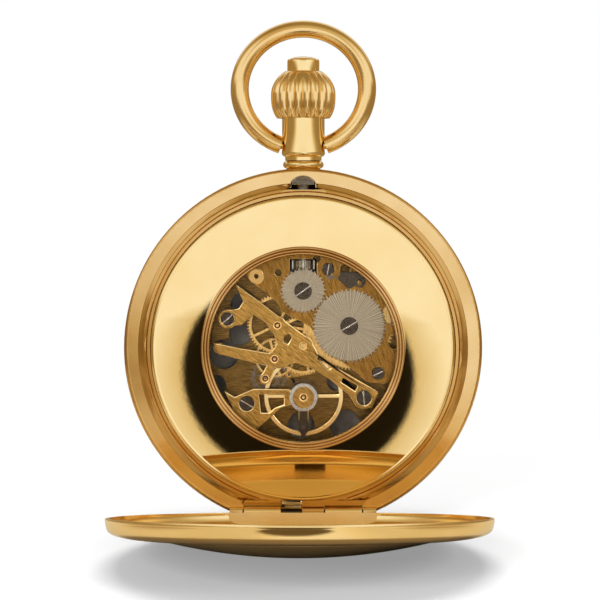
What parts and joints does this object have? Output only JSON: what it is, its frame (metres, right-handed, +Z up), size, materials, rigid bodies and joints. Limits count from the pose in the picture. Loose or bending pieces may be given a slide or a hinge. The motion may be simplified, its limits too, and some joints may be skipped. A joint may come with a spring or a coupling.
{
  "type": "double hunter pocket watch",
  "caption": "Pocket watch in a round case with a hinged cover on each side, fluted winding crown, push button, bow and a glazed back window over the movement.",
  "frame": {"origin": "bottom centre of the bounding box, on the surface the watch stands on", "axes": "+Z up toward the bow, +X to the right as seen from the back of the watch, -Y toward the open back cover"},
  "size_m": [0.05, 0.0572, 0.071],
  "materials": {
    "gold": "polished",
    "gilt_brass": "matt gilding",
    "wheel_brass": "polished",
    "balance_gold": "polished",
    "polished_steel": "polished",
    "dark_steel": "dark",
    "blued_steel": "blued",
    "ruby": "polished",
    "clear_glass": "clear",
    "enamel": "gloss"
  },
  "bodies": {
    "case": {"case_band": "gold", "pendant": "gold", "inner_cover": "gold", "window_ring": "gold", "window_glass": "clear_glass", "front_bezel": "gold", "front_glass": "clear_glass", "dial": "enamel", "movement_ring": "gilt_brass", "main_plate": "gilt_brass", "barrel_bridge": "gilt_brass", "train_bridge": "gilt_brass", "pallet_cock": "gilt_brass", "balance_cock": "gilt_brass", "jewels": "ruby", "bridge_screws": "dark_steel", "case_screws": "dark_steel", "crown_wheel_screw": "dark_steel", "click_spring": "polished_steel", "hinge_pins": "dark_steel", "lift_springs": "polished_steel", "lock_spring": "polished_steel"},
    "back_cover": {"back_cover": "gold"},
    "front_cover": {"front_cover": "gold"},
    "bow": {"bow": "gold"},
    "winding": {"winding_arbor": "polished_steel", "winding_pinion": "dark_steel", "clutch": "dark_steel"},
    "crown": {"crown": "gold", "case_stem": "polished_steel"},
    "push_button": {"push_button": "gold"},
    "lock_catch": {"lock_catch": "polished_steel"},
    "crown_wheel": {"crown_wheel": "polished_steel"},
    "ratchet": {"ratchet_wheel": "polished_steel", "ratchet_screw": "dark_steel", "barrel_arbor": "polished_steel"},
    "barrel": {"barrel": "gilt_brass", "mainspring": "dark_steel"},
    "centre": {"centre_wheel": "wheel_brass", "cannon_pinion": "polished_steel", "minute_hand": "blued_steel"},
    "third_wheel": {"third_wheel": "wheel_brass"},
    "fourth_wheel": {"fourth_wheel": "wheel_brass"},
    "escape_wheel": {"escape_wheel": "polished_steel"},
    "minute_wheel": {"minute_wheel": "wheel_brass"},
    "hour": {"hour_wheel": "wheel_brass", "hour_hand": "blued_steel"},
    "pallet_fork": {"pallet_fork": "polished_steel"},
    "balance": {"balance_wheel": "balance_gold", "roller": "polished_steel", "hairspring": "polished_steel"},
    "click": {"click": "dark_steel"},
    "regulator": {"regulator": "dark_steel"}
  },
  "joints": [
    {"name": "back_cover_hinge", "type": "hinge", "parent": "case", "child": "back_cover", "pos_m": [0, 0.01817, 0.0021], "axis": [1, 0, 0], "range_deg": [-80.58, 0]},
    {"name": "front_cover_hinge", "type": "hinge", "parent": "case", "child": "front_cover", "pos_m": [0, 0.02367, 0.0021], "axis": [-1, 0, 0], "range_deg": [0, 80.58]},
    {"name": "bow_swing", "type": "hinge", "parent": "case", "child": "bow", "pos_m": [0, 0.02092, 0.05329], "axis": [1, 0, 0], "range_deg": [-90, 90]},
    {"name": "winding_turn", "type": "hinge", "parent": "case", "child": "winding", "pos_m": [0, 0.02092, 0.037], "axis": [0, 0, 1], "continuous": true},
    {"name": "crown_pull", "type": "slide", "parent": "winding", "child": "crown", "axis": [0, 0, 1], "range_m": [0, 0.001]},
    {"name": "button_push", "type": "slide", "parent": "crown", "child": "push_button", "axis": [0, 0, -1], "range_m": [0, 0.0007], "stiffness_N_per_m": 300, "springref_m": -0.0003},
    {"name": "catch_slide", "type": "slide", "parent": "case", "child": "lock_catch", "axis": [0, 0, -1], "range_m": [0, 0.0007], "deforming": ["lock_spring"]},
    {"name": "crown_wheel_turn", "type": "hinge", "parent": "case", "child": "crown_wheel", "pos_m": [0, 0.01932, 0.0329], "axis": [0, -1, 0], "continuous": true},
    {"name": "ratchet_turn", "type": "hinge", "parent": "case", "child": "ratchet", "pos_m": [0.00646, 0.01932, 0.02798], "axis": [0, -1, 0], "continuous": true},
    {"name": "fourth_turn", "type": "hinge", "parent": "case", "child": "fourth_wheel", "pos_m": [-0.004, 0.02092, 0.02335], "axis": [0, -1, 0], "continuous": true},
    {"name": "barrel_turn", "type": "hinge", "parent": "case", "child": "barrel", "pos_m": [0.00646, 0.02092, 0.02798], "axis": [0, -1, 0], "continuous": true},
    {"name": "centre_turn", "type": "hinge", "parent": "case", "child": "centre", "pos_m": [0, 0.02092, 0.0252], "axis": [0, -1, 0], "continuous": true},
    {"name": "third_turn", "type": "hinge", "parent": "case", "child": "third_wheel", "pos_m": [-0.00361, 0.02092, 0.02806], "axis": [0, -1, 0], "continuous": true},
    {"name": "escape_turn", "type": "hinge", "parent": "case", "child": "escape_wheel", "pos_m": [-0.0053, 0.02092, 0.0206], "axis": [0, -1, 0], "continuous": true},
    {"name": "minute_wheel_turn", "type": "hinge", "parent": "case", "child": "minute_wheel", "pos_m": [0.0022, 0.02242, 0.02299], "axis": [0, -1, 0], "continuous": true},
    {"name": "hour_turn", "type": "hinge", "parent": "case", "child": "hour", "pos_m": [0, 0.02242, 0.0252], "axis": [0, -1, 0], "continuous": true},
    {"name": "pallet_swing", "type": "hinge", "parent": "case", "child": "pallet_fork", "pos_m": [-0.00205, 0.02092, 0.0209], "axis": [0, -1, 0], "range_deg": [-4, 5.5]},
    {"name": "balance_swing", "type": "hinge", "parent": "case", "child": "balance", "pos_m": [0.00005, 0.02042, 0.018], "axis": [0, -1, 0], "range_deg": [-270, 270], "stiffness_Nm_per_rad": 0.00000042, "deforming": ["hairspring"]},
    {"name": "click_swing", "type": "hinge", "parent": "case", "child": "click", "pos_m": [0.0079, 0.01932, 0.034], "axis": [0, -1, 0], "range_deg": [-8, 0], "stiffness_Nm_per_rad": 0.00002, "deforming": ["click_spring"]},
    {"name": "regulator_turn", "type": "hinge", "parent": "case", "child": "regulator", "pos_m": [0.00005, 0.01892, 0.018], "axis": [0, -1, 0], "range_deg": [-20, 20]}
  ],
  "couplings": [
    {"joint": "catch_slide", "follows": "button_push", "ratio": 1},
    {"joint": "crown_wheel_turn", "follows": "winding_turn", "ratio": -0.51515},
    {"joint": "ratchet_turn", "follows": "winding_turn", "ratio": 0.31481},
    {"joint": "third_turn", "follows": "fourth_turn", "ratio": -0.13333},
    {"joint": "centre_turn", "follows": "fourth_turn", "ratio": 0.016667},
    {"joint": "barrel_turn", "follows": "fourth_turn", "ratio": -0.0020833},
    {"joint": "escape_turn", "follows": "fourth_turn", "ratio": -10},
    {"joint": "minute_wheel_turn", "follows": "fourth_turn", "ratio": -0.0055556},
    {"joint": "hour_turn", "follows": "fourth_turn", "ratio": 0.0013889}
  ]
}
